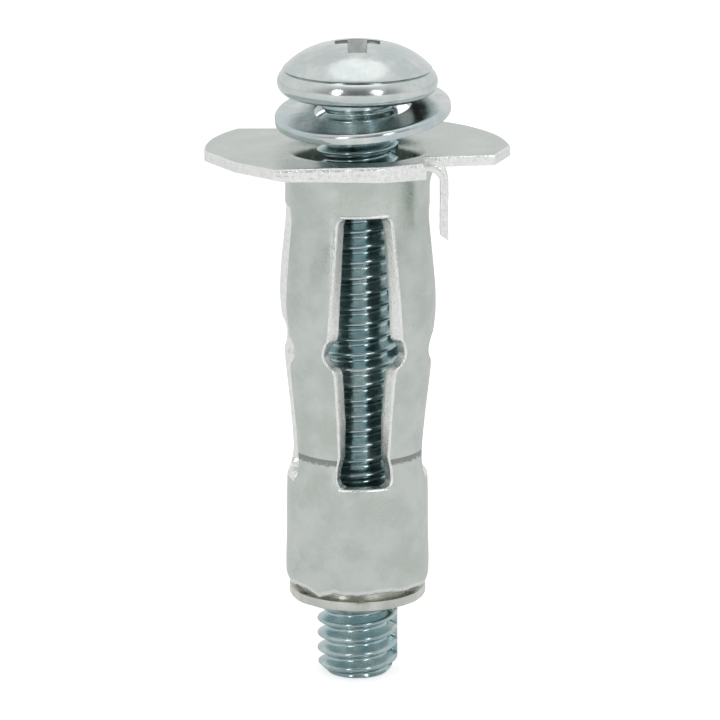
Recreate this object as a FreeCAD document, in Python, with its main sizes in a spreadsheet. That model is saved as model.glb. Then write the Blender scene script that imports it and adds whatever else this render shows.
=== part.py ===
import FreeCAD, Part
import math
import os

import Sketcher

# Hollow-wall expansion anchor. Millimetres, +Z from the wall towards the screw head.
# The origin is on the screw's axis, in the plane of the flange's underside, which rests on the wall.

LEGS = 4

# name, value, meaning
DIMENSIONS = [
    ("sheet", 0.6, "thickness of the sleeve's sheet steel"),
    ("gap", 0.04, "play between solids that meet at a fold"),
    ("slot_turn", 6.0, "angle of the front slot from the front, towards +X"),
    # flange
    ("flange_radius", 7.7, "outer radius of the flange"),
    ("flange_thick", 0.55, "thickness of the flange"),
    ("wing_side", 0.9, "where the left wing's front cut starts, in front of the X axis"),
    ("wing_mid_x", 6.1, "corner of that cut, distance from the YZ plane"),
    ("wing_mid_y", 3.5, "the same corner, distance from the XZ plane"),
    ("front_left", 4.1, "left corner of the front edge, distance from the YZ plane"),
    ("front_left_y", 5.3, "the same corner, distance from the XZ plane"),
    ("front_mid", 1.3, "bend of the front edge, distance from the YZ plane"),
    ("front_mid_y", 4.72, "the same bend, distance from the XZ plane"),
    ("front_right", 3.45, "right corner of the front edge, distance from the YZ plane"),
    ("front_right_y", 3.75, "the same corner, distance from the XZ plane"),
    ("flange_roll", 0.12, "size of the worn corner round the flange"),
    ("flange_back", 4.6, "distance of the left wing's straight back edge from the axis"),
    ("back_left", 4.0, "where that edge ends, distance from the axis"),
    ("lance_back", 2.3, "distance of the right wing's front edge from the axis, beside the prong"),
    ("lance_end", 6.85, "where the right wing's front edge ends, from the YZ plane"),
    ("lance_tip", 1.85, "distance of that end from the XZ plane"),
    ("wing_end", 0.35, "where the right wing's slanted end meets the rim, behind the X axis"),
    ("mouth_round", 0.7, "radius of the bend from the flange into the tube, inside"),
    ("under_round", 0.8, "radius of the bend from the flange into the tube, outside"),
    # anti-rotation prong
    ("prong_face", 4.5, "distance of the prong's outer face from the YZ plane"),
    ("prong_thick", 0.4, "thickness of the prong"),
    ("prong_bend", 0.95, "outer radius of the bend into the prong"),
    ("prong_root", 3.0, "where the prong leaves the flange, distance from the YZ plane"),
    ("prong_drop", 3.4, "depth of the prong's end"),
    # sleeve profile
    ("collar_radius", 3.75, "outer radius of the tube under the flange"),
    ("fold_z", 3.15, "depth of the upper folds"),
    ("fold_radius", 3.76, "outer radius at the upper folds"),
    ("leg_half", 6.2, "height of one half of a leg, between fold lines"),
    ("belly_drop", 4.2, "depth of the legs' widest place below the upper folds"),
    ("belly_radius", 4.18, "outer radius at the widest place"),
    ("knuckle_radius", 4.02, "outer radius at the knuckles"),
    ("shin_drop", 2.6, "depth below the knuckles where the lower legs bend inward"),
    ("shin_radius", 3.68, "outer radius at that bend"),
    ("foot_radius", 3.5, "outer radius at the lower folds"),
    ("cage_radius", 3.62, "outer radius of the nut cage"),
    ("cage_shoulder", 1.0, "depth below the lower folds where the cage is at full radius"),
    ("cage_bottom", 22.2, "depth of the cage's lower rim"),
    ("crimp_height", 0.5, "height of the taper crimped into the rim"),
    ("crimp_depth", 0.12, "how far the rim is crimped in"),
    # slots between the legs, half widths
    ("slot_top_z", 2.36, "depth of the slots' upper ends"),
    ("slot_top", 1.36, "half width at the upper end"),
    ("slot_belly", 1.83, "half width just above the round opening"),
    ("slot_round", 2.07, "half width of the round opening"),
    ("slot_round_drop", 0.75, "half height of the round opening"),
    ("slot_below", 1.52, "half width just below the round opening"),
    ("slot_waist", 1.23, "half width near the foot"),
    ("slot_waist_z", 14.75, "depth of the narrowest place near the foot"),
    ("slot_foot", 1.39, "half width at the lower end"),
    ("slot_foot_z", 16.32, "depth of the slots' lower ends"),
    ("slot_corner", 0.28, "size of the cut corners at the slots' ends"),
    # nut
    ("nut_top", 16.7, "depth of the nut's upper face"),
    ("nut_radius", 2.98, "radius of the nut inside the cage"),
    ("nut_lip_radius", 3.52, "radius of the nut's lip under the cage"),
    ("nut_lip_z", 22.8, "depth at which the lip starts to taper"),
    ("nut_bottom", 23.2, "depth of the nut's lower face"),
    ("nut_end_radius", 2.35, "outer radius of the nut's lower face"),
    ("nut_bore", 2.16, "radius of the nut's bore, clear of the thread's crests"),
    # washer
    ("washer_radius", 4.42, "outer radius of the washer"),
    ("washer_hole", 2.42, "radius of the washer's hole"),
    ("washer_thick", 0.5, "thickness of the washer"),
    ("washer_roll", 0.12, "size of the washer's rounded upper corner"),
    ("washer_break", 0.08, "size of the broken corner round the washer's hole"),
    ("washer_z", 2.38, "height of the washer's centre"),
    ("washer_side_tilt", 5.0, "tilt of the loose washer, +X side up"),
    ("washer_front_tilt", 6.8, "tilt of the loose washer, front down"),
    ("washer_shift", 0.26, "offset of the loose washer towards +X"),
    # screw
    ("thread_radius", 2.06, "radius at the thread's crests"),
    ("thread_core", 1.6, "radius at the thread's roots"),
    ("thread_pitch", 0.79375, "pitch, 32 turns to the inch"),
    ("thread_crest", 0.1, "width of the flat on each crest"),
    ("thread_floor", 0.12, "width of the flat between two threads"),
    ("thread_fade", 0.3, "length over which the thread's end tapers to the neck"),
    ("neck_z", 2.75, "height at which the thread runs out under the head"),
    ("neck_radius", 1.78, "radius of the plain neck"),
    ("screw_tip", 26.97, "depth of the screw's end"),
    ("tip_chamfer", 0.45, "length of the chamfer at the screw's end"),
    ("head_z", 3.27, "height of the head's underside"),
    ("head_radius", 4.02, "radius of the head"),
    ("head_rim", 0.95, "height of the head's straight side"),
    ("crown_base", 3.72, "radius at which the crown starts"),
    ("crown_base_z", 1.32, "height above the head's underside at which the crown starts"),
    ("head_height", 2.68, "height of the head"),
    ("crown_radius", 2.0, "radius at which the crown's fall is given"),
    ("crown_drop", 0.36, "fall of the crown from its middle to there"),
    ("head_round", 0.25, "size of the corner under the head"),
    ("slot_width", 1.0, "width of the head's slot"),
    ("slot_length", 4.0, "length of the head's slot, which ends inside the crown"),
    ("slot_depth", 1.25, "depth of the head's slot"),
    ("cross_width", 0.95, "width of a cross wing"),
    ("cross_length", 2.3, "length of the cross recess, tip to tip"),
    ("cross_depth", 1.75, "depth of the cross recess"),
    ("cross_taper", 12.0, "slope of the cross recess's walls"),
]

doc = FreeCAD.newDocument("wall_anchor")
sheet = doc.addObject("Spreadsheet::Sheet", "dims")
for row, (name, size, meaning) in enumerate(DIMENSIONS, start=1):
    sheet.set(f"A{row}", name)
    sheet.set(f"B{row}", str(size))
    sheet.set(f"C{row}", meaning)
    sheet.setAlias(f"B{row}", name)
doc.recompute()


# ---- helpers ----------------------------------------------------------------------------------


def value(expression):
    """The number that an expression of the sheet's cells gives."""
    return float(FreeCAD.Units.Quantity(sheet.evalExpression(expression)).Value)


def new_body(name):
    body = doc.addObject("PartDesign::Body", name)
    body.Label = name
    return body


def new_sketch(body, name, plane):
    """A sketch on one of the body's own origin planes."""
    sketch = body.newObject("Sketcher::SketchObject", f"{body.Name}_{name}")
    support = next(f for f in body.Origin.OriginFeatures if f.Role == plane)
    sketch.AttachmentSupport = [(support, "")]
    sketch.MapMode = "FlatFace"
    return sketch


def bind_place(sketch, item, end, across, up):
    """Ties a point of the sketch to two expressions, measured from the sketch's origin."""
    for kind, expression in (("DistanceX", across), ("DistanceY", up)):
        tie = Sketcher.Constraint(kind, -1, 1, item, end, value(expression))
        number = sketch.addConstraint(tie)
        sketch.setExpression(f"Constraints[{number}]", expression)


def draw_outline(sketch, corners):
    """A closed outline. A corner is (across, up), or (across, up, via_across, via_up) where the side
    that leaves it is an arc through the via point. All are expressions."""
    first = sketch.GeometryCount
    places = [FreeCAD.Vector(value(c[0]), value(c[1]), 0) for c in corners]
    for number, corner in enumerate(corners):
        start, finish = places[number], places[(number + 1) % len(corners)]
        if len(corner) == 4:
            via = FreeCAD.Vector(value(corner[2]), value(corner[3]), 0)
            sketch.addGeometry(Part.Arc(start, via, finish), False)
        else:
            sketch.addGeometry(Part.LineSegment(start, finish), False)
    ends = []
    for number in range(len(corners)):
        item = first + number
        begins = sketch.getPoint(item, 1).isEqual(places[number], 1e-6)
        ends.append((1, 2) if begins else (2, 1))
    for number, corner in enumerate(corners):
        item = first + number
        following = (number + 1) % len(corners)
        meet = Sketcher.Constraint(
            "Coincident", item, ends[number][1], first + following, ends[following][0]
        )
        sketch.addConstraint(meet)
        bind_place(sketch, item, ends[number][0], corner[0], corner[1])
        if len(corner) == 4:
            via = FreeCAD.Vector(value(corner[2]), value(corner[3]), 0)
            mark = sketch.addGeometry(Part.Point(via), True)
            bind_place(sketch, mark, 1, corner[2], corner[3])
            sketch.addConstraint(Sketcher.Constraint("PointOnObject", mark, 1, item))


def feature(body, kind, name, sketch, **settings):
    """A feature of the body. A text setting that names the sheet becomes an expression."""
    made = body.newObject(f"PartDesign::{kind}", f"{body.Name}_{name}")
    made.Profile = sketch
    for key, setting in settings.items():
        if isinstance(setting, str) and "dims." in setting:
            made.setExpression(key, setting)
        else:
            setattr(made, key, setting)
    sketch.Visibility = False
    return made


def turn(body, name, corners, degrees=360.0):
    """A solid turned about Z from an outline in the XZ plane."""
    sketch = new_sketch(body, f"{name}_outline", "XZ_Plane")
    draw_outline(sketch, corners)
    axis = (sketch, ["V_Axis"])
    return feature(body, "Revolution", name, sketch, ReferenceAxis=axis, Angle=degrees)


def cut(body, name, sketch, expected, **settings):
    """A pocket, which has to take at least the expected volume away."""
    doc.recompute()
    before = body.Shape.Volume
    made = feature(body, "Pocket", name, sketch, **settings)
    doc.recompute()
    taken = before - body.Shape.Volume
    if taken < expected:
        raise RuntimeError(f"{made.Name} takes {taken:.3f} mm3 away, not {expected}")
    return made


# ---- the slots between the legs ---------------------------------------------------------------

KNUCKLE_Z = "(dims.fold_z + dims.leg_half)"
FOOT_Z = "(dims.fold_z + 2 * dims.leg_half)"


def slot_half(side):
    """One side of a slot's outline from its top to its foot. side is 1 or -1."""
    round_top = f"-{KNUCKLE_Z} + dims.slot_round_drop"
    round_foot = f"-{KNUCKLE_Z} - dims.slot_round_drop"
    return [
        (f"{side} * (dims.slot_top - dims.slot_corner)", "-dims.slot_top_z"),
        (f"{side} * dims.slot_top", "-dims.slot_top_z - dims.slot_corner"),
        (
            f"{side} * dims.slot_belly", round_top,
            f"{side} * dims.slot_round", f"-{KNUCKLE_Z}",
        ),
        (f"{side} * dims.slot_below", round_foot),
        (f"{side} * dims.slot_waist", "-dims.slot_waist_z"),
        (f"{side} * dims.slot_foot", f"-{FOOT_Z}"),
        (f"{side} * dims.slot_foot", "-dims.slot_foot_z + dims.slot_corner"),
        (f"{side} * (dims.slot_foot - dims.slot_corner)", "-dims.slot_foot_z"),
    ]


def slot_outline():
    """The whole outline: down one side and, with its arc drawn from the other end, up the other."""
    down = slot_half(1)
    rising = [corner[:2] for corner in reversed(slot_half(-1))]
    lower_round = rising.index(slot_half(-1)[3][:2])
    arc = slot_half(-1)[2]
    rising[lower_round] = rising[lower_round] + arc[2:]
    return down + rising


def cut_slots(body, sides, expected):
    """Cuts slots through the wall on the local X and Y axes. sides is 'Symmetric' for both ends of
    each axis, or 'One side' for the positive ends."""
    for plane, reverse in (("YZ_Plane", True), ("XZ_Plane", False)):
        sketch = new_sketch(body, f"slot_{plane[:2].lower()}", plane)
        draw_outline(sketch, slot_outline())
        reach = "3 * dims.flange_radius" if sides == "Symmetric" else "dims.flange_radius"
        turned = reverse and sides == "One side"
        cut(
            body, f"slots_{plane[:2].lower()}", sketch, expected,
            SideType=sides, Length=reach, Reversed=turned,
        )


# ---- the sleeve's solids ----------------------------------------------------------------------


def flange_plate():
    """The flange with the bend into the tube, its edges trimmed as the press leaves them."""
    body = new_body("flange_plate")
    inner = "dims.collar_radius - dims.sheet"
    turn(body, "plate", [
        (f"{inner} + dims.mouth_round", "dims.flange_thick"),
        ("dims.flange_radius - dims.flange_roll", "dims.flange_thick"),
        ("dims.flange_radius", "dims.flange_thick - dims.flange_roll"),
        ("dims.flange_radius", "0"),
        (
            "dims.collar_radius + dims.under_round", "0",
            "dims.collar_radius + 0.293 * dims.under_round", "-0.293 * dims.under_round",
        ),
        ("dims.collar_radius", "-dims.under_round"),
        (inner, "-dims.under_round"),
        (
            inner, "dims.flange_thick - dims.mouth_round",
            f"{inner} + 0.293 * dims.mouth_round",
            "dims.flange_thick - 0.293 * dims.mouth_round",
        ),
    ])
    reach = "(dims.flange_radius + 1)"
    trims = {
        "front": [
            (f"-{reach}", "-dims.wing_side"),
            ("-dims.flange_radius", "-dims.wing_side"),
            ("-dims.wing_mid_x", "-dims.wing_mid_y"),
            ("-dims.front_left", "-dims.front_left_y"),
            ("dims.front_mid", "-dims.front_mid_y"),
            ("dims.front_right", "-dims.front_right_y"),
            ("dims.front_right", "-dims.lance_back"),
            ("dims.lance_end", "-dims.lance_tip"),
            ("dims.flange_radius", "dims.wing_end"),
            (reach, "dims.wing_end"),
            (reach, f"-{reach}"),
            (f"-{reach}", f"-{reach}"),
        ],
        "back": [
            (f"-{reach}", "dims.flange_back"),
            ("-dims.back_left", "dims.flange_back"),
            ("-dims.back_left", reach),
            (f"-{reach}", reach),
        ],
    }
    for name, corners in trims.items():
        sketch = new_sketch(body, f"{name}_outline", "XY_Plane")
        draw_outline(sketch, corners)
        cut(
            body, name, sketch, 1.0,
            SideType="Symmetric", Length="4 * dims.flange_thick",
        )
    return body


def prong():
    """The prong bent down from the flange, which keeps the sleeve from turning in the wall."""
    body = new_body("prong")
    sketch = new_sketch(body, "outline", "XZ_Plane")
    top, face, bend = "dims.flange_thick", "dims.prong_face", "dims.prong_bend"
    inner = "(dims.prong_bend - dims.prong_thick)"
    middle = 1 - math.sqrt(0.5)
    draw_outline(sketch, [
        ("dims.prong_root", top),
        (
            f"{face} - {bend}", top,
            f"{face} - {middle} * {bend}", f"{top} - {middle} * {bend}",
        ),
        (face, f"{top} - {bend}"),
        (face, "-dims.prong_drop"),
        (f"{face} - dims.prong_thick", "-dims.prong_drop"),
        (
            f"{face} - dims.prong_thick", f"{top} - {bend}",
            f"{face} - {bend} + {1 - middle} * {inner}",
            f"{top} - {bend} + {1 - middle} * {inner}",
        ),
        (f"{face} - {bend}", f"{top} - dims.prong_thick"),
        ("dims.prong_root", f"{top} - dims.prong_thick"),
    ])
    feature(body, "Pad", "strip", sketch, Length="dims.front_right_y - dims.lance_back")
    body.setExpression(".Placement.Base.y", "-dims.lance_back")
    return body


def upper_tube():
    """The tube between the flange's bend and the upper folds, with the slots' upper ends."""
    body = new_body("upper_tube")
    inner = "dims.collar_radius - dims.sheet"
    turn(body, "wall", [
        (inner, "-dims.under_round"),
        ("dims.collar_radius", "-dims.under_round"),
        ("dims.collar_radius", "-dims.slot_top_z"),
        ("dims.fold_radius", "-dims.fold_z + 3 * dims.gap"),
        ("dims.fold_radius - dims.sheet", "-dims.fold_z + 3 * dims.gap"),
        (inner, "-dims.slot_top_z"),
    ])
    cut_slots(body, "Symmetric", 0.5)
    body.setExpression(".Placement.Rotation.Angle", "dims.slot_turn * 1 deg")
    return body


def collar():
    """Flange, prong and upper tube are one piece of steel."""
    made = doc.addObject("Part::MultiFuse", "collar")
    made.Label = "collar"
    made.Shapes = [flange_plate(), upper_tube(), prong()]
    return made


def leg_panel(name, number, corners):
    """One rigid stretch of a leg: a quarter of a turned wall, less the slots on both its sides.
    Locally it lies between the X and Y axes, and its Placement turns it to its place."""
    body = new_body(f"{name}_{number}")
    turn(body, "wall", corners, 90.0)
    cut_slots(body, "One side", 1.0)
    body.Placement.Rotation.Axis = FreeCAD.Vector(0, 0, 1)
    body.setExpression(
        ".Placement.Rotation.Angle", f"(dims.slot_turn + {90 * (number - 2)}) * 1 deg"
    )
    return body


def upper_leg(number):
    """From the upper fold to the knuckle, bowed outward."""
    top = "-dims.fold_z"
    knuckle = f"-{KNUCKLE_Z} + dims.gap"
    belly = "-dims.fold_z - dims.belly_drop"
    return leg_panel("upper_leg", number, [
        ("dims.fold_radius - dims.sheet", top),
        (
            "dims.fold_radius", top,
            "dims.belly_radius", belly,
        ),
        ("dims.knuckle_radius", knuckle),
        (
            "dims.knuckle_radius - dims.sheet", knuckle,
            "dims.belly_radius - dims.sheet", belly,
        ),
    ])


def lower_leg(number):
    """From the knuckle to the lower fold, drawn in towards its foot."""
    knuckle = f"-{KNUCKLE_Z} - dims.gap"
    shin = f"-{KNUCKLE_Z} - dims.shin_drop"
    foot = f"-{FOOT_Z} + dims.gap"
    return leg_panel("lower_leg", number, [
        ("dims.knuckle_radius - dims.sheet", knuckle),
        ("dims.knuckle_radius", knuckle),
        ("dims.shin_radius", shin),
        ("dims.foot_radius", foot),
        ("dims.foot_radius - dims.sheet", foot),
        ("dims.shin_radius - dims.sheet", shin),
    ])


def nut_cage():
    """The tube that holds the nut, with the slots' lower ends and its rim crimped in."""
    body = new_body("nut_cage")
    top = f"-{FOOT_Z}"
    turn(body, "wall", [
        ("dims.foot_radius - dims.sheet", top),
        ("dims.foot_radius", top),
        ("dims.cage_radius", f"{top} - dims.cage_shoulder"),
        ("dims.cage_radius", "-dims.cage_bottom + dims.crimp_height"),
        ("dims.cage_radius - dims.crimp_depth", "-dims.cage_bottom"),
        ("dims.cage_radius - dims.sheet", "-dims.cage_bottom"),
        ("dims.cage_radius - dims.sheet", f"{top} - dims.cage_shoulder"),
    ])
    cut_slots(body, "Symmetric", 0.5)
    body.Placement.Rotation.Axis = FreeCAD.Vector(0, 0, 1)
    body.setExpression(".Placement.Rotation.Angle", "dims.slot_turn * 1 deg")
    return body


# ---- nut, washer and screw --------------------------------------------------------------------


def nut():
    """A round nut with a tapered lip under the cage's rim."""
    body = new_body("nut")
    turn(body, "turned", [
        ("dims.nut_bore", "-dims.nut_top"),
        ("dims.nut_radius", "-dims.nut_top"),
        ("dims.nut_radius", "-dims.cage_bottom - dims.gap"),
        ("dims.nut_lip_radius", "-dims.cage_bottom - dims.gap"),
        ("dims.nut_lip_radius", "-dims.nut_lip_z"),
        ("dims.nut_end_radius", "-dims.nut_bottom"),
        ("dims.nut_bore", "-dims.nut_bottom"),
    ])
    return body


def washer():
    """Thin plain washer, punched, hanging slightly tilted on the screw."""
    body = new_body("washer")
    low, high = "-0.5 * dims.washer_thick", "0.5 * dims.washer_thick"
    turn(body, "ring", [
        ("dims.washer_hole", low),
        ("dims.washer_radius", low),
        ("dims.washer_radius", f"{high} - dims.washer_roll"),
        ("dims.washer_radius - dims.washer_roll", high),
        ("dims.washer_hole + dims.washer_break", high),
        ("dims.washer_hole", f"{high} - dims.washer_break"),
    ])
    side, front = "dims.washer_side_tilt", "dims.washer_front_tilt"
    body.Placement.Rotation.Axis = FreeCAD.Vector(value(front), -value(side), 0)
    body.setExpression(".Placement.Rotation.Angle", f"sqrt({side} ^ 2 + {front} ^ 2) * 1 deg")
    body.setExpression(".Placement.Base.x", "dims.washer_shift")
    body.setExpression(".Placement.Base.z", "dims.washer_z")
    return body


def screw():
    """Pan-head machine screw with a combined slot and cross recess and a right-hand thread."""
    body = new_body("screw_turned")
    top = "dims.head_z + dims.head_height"
    turn(body, "blank", [
        ("0", "-dims.screw_tip"),
        ("dims.thread_radius - dims.tip_chamfer", "-dims.screw_tip"),
        ("dims.thread_radius", "-dims.screw_tip + dims.tip_chamfer"),
        ("dims.thread_radius", "dims.neck_z - dims.thread_fade"),
        ("dims.neck_radius", "dims.neck_z"),
        ("dims.neck_radius", "dims.head_z"),
        ("dims.head_radius - dims.head_round", "dims.head_z"),
        ("dims.head_radius", "dims.head_z + dims.head_round"),
        ("dims.head_radius", "dims.head_z + dims.head_rim"),
        (
            "dims.crown_base", "dims.head_z + dims.crown_base_z",
            "dims.crown_radius", f"{top} - dims.crown_drop",
        ),
        ("0", top),
    ])
    doc.recompute()
    blank = body.Shape.Volume
    groove = new_sketch(body, "groove", "XZ_Plane")
    outside = "dims.thread_radius + 0.1"
    half = "0.5 * (dims.thread_pitch - dims.thread_crest)"
    start = "-dims.screw_tip - dims.thread_pitch"
    draw_outline(groove, [
        ("dims.thread_core", f"{start} - 0.5 * dims.thread_floor"),
        (outside, f"{start} - {half}"),
        (outside, f"{start} + {half}"),
        ("dims.thread_core", f"{start} + 0.5 * dims.thread_floor"),
    ])
    thread = feature(
        body, "SubtractiveHelix", "thread", groove,
        ReferenceAxis=(groove, ["V_Axis"]), Mode="pitch-height-angle",
        Pitch="dims.thread_pitch",
        Height="dims.screw_tip + dims.neck_z + dims.thread_pitch - 0.2",
        LeftHanded=False, Reversed=False,
    )
    doc.recompute()
    if body.Shape.Volume > blank - 10:
        raise RuntimeError(f"{thread.Name} cuts no thread")

    slot = new_sketch(body, "slot_outline", "XZ_Plane")
    edge = "0.5 * dims.slot_width"
    draw_outline(slot, [
        (f"-{edge}", f"{top} - dims.slot_depth"),
        (edge, f"{top} - dims.slot_depth"),
        (edge, f"{top} + 0.5"),
        (f"-{edge}", f"{top} + 0.5"),
    ])
    cut(body, "slot", slot, 2.0, SideType="Symmetric", Length="dims.slot_length")

    made = doc.addObject("Part::Cut", "screw")
    made.Label = "screw"
    made.Base = body
    made.Tool = cross_punch()
    return made


def cross_punch():
    """The punch that leaves the cross recess: two tapered wings across each other."""
    top = "dims.head_z + dims.head_height"
    wings = []
    for number in range(2):
        body = new_body(f"punch_wing_{number + 1}")
        sketch = new_sketch(body, "outline", "XZ_Plane")
        narrow = "0.5 * dims.cross_length - dims.cross_depth * tan(dims.cross_taper * 1 deg)"
        draw_outline(sketch, [
            (f"-({narrow})", f"{top} - dims.cross_depth"),
            (narrow, f"{top} - dims.cross_depth"),
            ("0.5 * dims.cross_length", top),
            ("0.5 * dims.cross_length", f"{top} + 0.5"),
            ("-0.5 * dims.cross_length", f"{top} + 0.5"),
            ("-0.5 * dims.cross_length", top),
        ])
        feature(
            body, "Pad", "wing", sketch, SideType="Symmetric", Length="dims.cross_width"
        )
        body.Placement.Rotation = FreeCAD.Rotation(FreeCAD.Vector(0, 0, 1), 90 * number)
        wings.append(body)
    punch = doc.addObject("Part::MultiFuse", "cross_punch")
    punch.Shapes = wings
    return punch


# ---- build, check and write -------------------------------------------------------------------

parts = [collar()]
for leg in range(1, LEGS + 1):
    parts += [upper_leg(leg), lower_leg(leg)]
parts += [nut_cage(), nut(), washer(), screw()]
doc.recompute()

for item in doc.Objects:
    if "Invalid" in item.State or "Error" in item.State:
        raise RuntimeError(f"{item.Name} failed: {item.State}")
for part in parts:
    if part.Shape.isNull() or not part.Shape.isValid():
        raise RuntimeError(f"{part.Label} has no valid shape")

os.makedirs("parts", exist_ok=True)
for part in parts:
    part.Shape.exportStep(f"parts/{part.Label}.step")
    print(part.Label, len(part.Shape.Solids), round(part.Shape.Volume, 3))
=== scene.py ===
import math

import bmesh
import bpy
from mathutils import Matrix, Vector, noise


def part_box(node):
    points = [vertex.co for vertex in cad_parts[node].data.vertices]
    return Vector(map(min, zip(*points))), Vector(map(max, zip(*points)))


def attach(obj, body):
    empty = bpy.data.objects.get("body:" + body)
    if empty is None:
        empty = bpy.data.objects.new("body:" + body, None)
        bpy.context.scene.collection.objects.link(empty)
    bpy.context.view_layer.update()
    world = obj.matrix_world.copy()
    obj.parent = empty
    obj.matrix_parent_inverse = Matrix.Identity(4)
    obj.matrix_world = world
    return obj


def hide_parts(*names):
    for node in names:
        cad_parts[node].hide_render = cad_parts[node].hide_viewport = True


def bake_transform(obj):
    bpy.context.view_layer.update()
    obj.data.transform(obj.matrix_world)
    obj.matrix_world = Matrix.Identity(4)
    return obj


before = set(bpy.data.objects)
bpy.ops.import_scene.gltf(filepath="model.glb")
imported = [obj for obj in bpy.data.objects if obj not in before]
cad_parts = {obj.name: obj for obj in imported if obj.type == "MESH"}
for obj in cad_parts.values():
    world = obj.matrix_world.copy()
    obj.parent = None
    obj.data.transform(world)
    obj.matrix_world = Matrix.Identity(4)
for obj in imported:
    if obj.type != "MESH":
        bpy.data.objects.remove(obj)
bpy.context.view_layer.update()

# Sizes are in millimetres and become metres in make_mesh(). Places come from the frame.
MM = 0.001
LEGS = range(1, 5)


def low(node, axis="z"):
    return getattr(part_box(node)[0], axis) / MM


def high(node, axis="z"):
    return getattr(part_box(node)[1], axis) / MM


# ---- places read from the frame ---------------------------------------------------------------

PLATE_TOP = high("collar")
FOLD_Z = high("upper_leg_1")
KNUCKLE_Z = (low("upper_leg_1") + high("lower_leg_1")) / 2
FOOT_Z = high("nut_cage")
CAGE_RIM = low("nut_cage")
NUT_FACE = low("nut")
FLANGE_RADIUS = high("collar", "x")
TIP_Z = low("screw")
HEAD_TOP = high("screw") + 0.02
HEAD_RADIUS = high("screw", "x")
WASHER_CENTRE = (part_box("washer")[0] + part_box("washer")[1]) / 2 / MM

# ---- sizes of the sleeve ----------------------------------------------------------------------

SHEET = 0.6
SLOT_TURN = 6.0
SLOT_TOP = -2.36
SLOT_FOOT = -16.32
TUBE_RADIUS = 3.75
MOUTH_ROUND = 0.7
UNDER_ROUND = 0.8
ROLL_DEPTH = 0.07
ROLL_WIDTH = 0.17
FLAT_DEPTH = 0.13
FLAT_HALF_ANGLE = math.radians(25)
SHEET_WAVE = 0.012
EDGE_JITTER = 0.02
BEND_REACH = 0.35

# Outer radius of the sleeve at each depth.
PROFILE = [
    (0.0, TUBE_RADIUS), (SLOT_TOP, TUBE_RADIUS), (-3.15, 3.8), (-4.5, 3.95), (-6.0, 4.12),
    (-7.35, 4.2), (-8.4, 4.14), (-9.35, 4.0), (-11.1, 3.82), (-12.7, 3.62), (-14.6, 3.43),
    (-15.3, 3.42), (-16.1, 3.56), (-17.0, 3.6), (-21.0, 3.62), (CAGE_RIM, 3.6),
]
# Half width of a slot at the sleeve's outer skin.
SLOT_SIDES = [
    (SLOT_TOP, 1.1), (-2.5, 1.28), (-2.75, 1.36), (-5.5, 1.6), (-8.6, 1.84), (-8.75, 1.95),
    (-9.05, 2.04), (-9.35, 2.07), (-9.65, 2.0), (-9.9, 1.82), (-10.1, 1.58), (-10.4, 1.47),
    (-12.5, 1.32), (-14.75, 1.22), (-15.5, 1.36), (-15.95, 1.39), (-16.2, 1.28),
    (SLOT_FOOT, 1.05),
]
# How much narrower half the slot is at the inner skin.
SLOT_FLARE = [
    (SLOT_TOP, 0.36), (-5.0, 0.42), (-8.5, 0.52), (-9.35, 0.3), (-10.2, 0.42), (-13.0, 0.4),
    (SLOT_FOOT, 0.22),
]


def interpolate(points, z):
    """The value at height z of a list of (z, value) that runs downward."""
    if z >= points[0][0]:
        return points[0][1]
    for (z1, v1), (z2, v2) in zip(points, points[1:]):
        if z >= z2:
            return v1 + (v2 - v1) * (z1 - z) / (z1 - z2)
    return points[-1][1]


def smooth_profile(z):
    """The sleeve's outer radius, with its bends rounded over a short length."""
    steps = (-1.0, -0.5, 0.0, 0.5, 1.0)
    return sum(interpolate(PROFILE, z + BEND_REACH * s) for s in steps) / len(steps)


def smoothstep(a, b, x):
    t = min(1.0, max(0.0, (x - a) / (b - a)))
    return t * t * (3 - 2 * t)


def wander(seed, x, y=0.0, z=0.0):
    """Smooth seeded noise from about -1 to 1, for small irregular shapes."""
    return noise.noise(Vector((x + 17.3 * seed, y - 5.1 * seed, z + 2.7 * seed)))


def polar(radius, angle, z):
    return (radius * math.cos(angle), radius * math.sin(angle), z)


# ---- meshes -----------------------------------------------------------------------------------


def make_mesh(name, points, faces, marks=None, sharp_above=40.0):
    """A smooth-shaded object from points in millimetres. marks is 1 where the metal was sheared."""
    mesh = bpy.data.meshes.new(name)
    mesh.from_pydata([[c * MM for c in p] for p in points], [], faces)
    mesh.validate()
    obj = bpy.data.objects.new(name, mesh)
    bpy.context.scene.collection.objects.link(obj)
    if marks is not None:
        layer = mesh.attributes.new("sheared", "FLOAT", "POINT")
        layer.data.foreach_set("value", marks)
    finish_mesh(obj, sharp_above)
    return obj


def finish_mesh(obj, sharp_above):
    """Outward faces, smooth shading with sharp edges kept, and each vertex's place at rest."""
    work = bmesh.new()
    work.from_mesh(obj.data)
    bmesh.ops.remove_doubles(work, verts=work.verts, dist=1e-7)
    bmesh.ops.dissolve_degenerate(work, edges=work.edges, dist=1e-8)
    bmesh.ops.recalc_face_normals(work, faces=work.faces)
    limit = math.radians(sharp_above)
    for face in work.faces:
        face.smooth = True
    for edge in work.edges:
        edge.smooth = len(edge.link_faces) == 2 and edge.calc_face_angle(0) < limit
    work.to_mesh(obj.data)
    work.free()
    place = obj.data.attributes.get("place")
    place = place or obj.data.attributes.new("place", "FLOAT_VECTOR", "POINT")
    flat = [c for v in obj.data.vertices for c in v.co]
    place.data.foreach_set("vector", flat)


def ring_faces(rows, columns, close_rows, close_columns, start=0):
    """Quads of a grid of points stored row by row."""
    faces = []
    for r in range(rows if close_rows else rows - 1):
        for c in range(columns if close_columns else columns - 1):
            r2, c2 = (r + 1) % rows, (c + 1) % columns
            faces.append((
                start + r * columns + c, start + r * columns + c2,
                start + r2 * columns + c2, start + r2 * columns + c,
            ))
    return faces


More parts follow.
